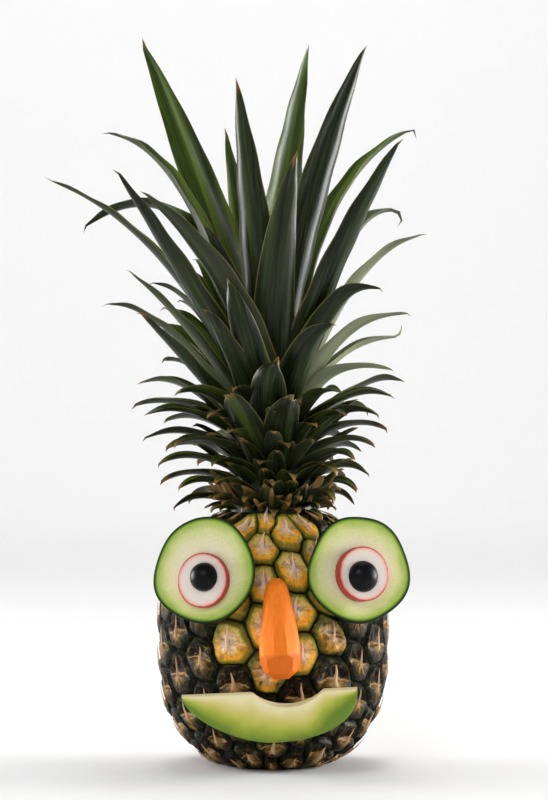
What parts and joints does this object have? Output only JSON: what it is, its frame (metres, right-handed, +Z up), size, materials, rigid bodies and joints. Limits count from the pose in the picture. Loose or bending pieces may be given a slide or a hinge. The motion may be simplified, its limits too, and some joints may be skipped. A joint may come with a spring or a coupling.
{
  "type": "pineapple with a face of cut vegetables",
  "caption": "Whole pineapple with its leafy crown, standing on its base, with a face of cut vegetables and fruit pinned to its front.",
  "frame": {"origin": "middle of the flat base that the fruit stands on", "axes": "+Z up through the fruit and its crown; the face looks along -Y; +X is to the viewer's right"},
  "size_m": [0.198, 0.1687, 0.3845],
  "materials": {
    "rind": "waxy, rough and mottled",
    "leaf": "waxy satin",
    "cucumber": "moist cut flesh",
    "radish": "moist cut flesh",
    "olive": "soft sheen",
    "carrot": "peeled",
    "avocado": "smooth peeled flesh",
    "stick": "plain birch"
  },
  "bodies": {
    "root": {"fruit": "rind", "crown": "leaf", "left_cucumber_slice": "cucumber", "right_cucumber_slice": "cucumber", "left_radish_slice": "radish", "right_radish_slice": "radish", "left_olive_end": "olive", "right_olive_end": "olive", "carrot_nose": "carrot", "avocado_mouth": "avocado", "left_eye_stick": "stick", "right_eye_stick": "stick", "nose_stick": "stick", "left_mouth_stick": "stick", "right_mouth_stick": "stick"}
  },
  "joints": []
}
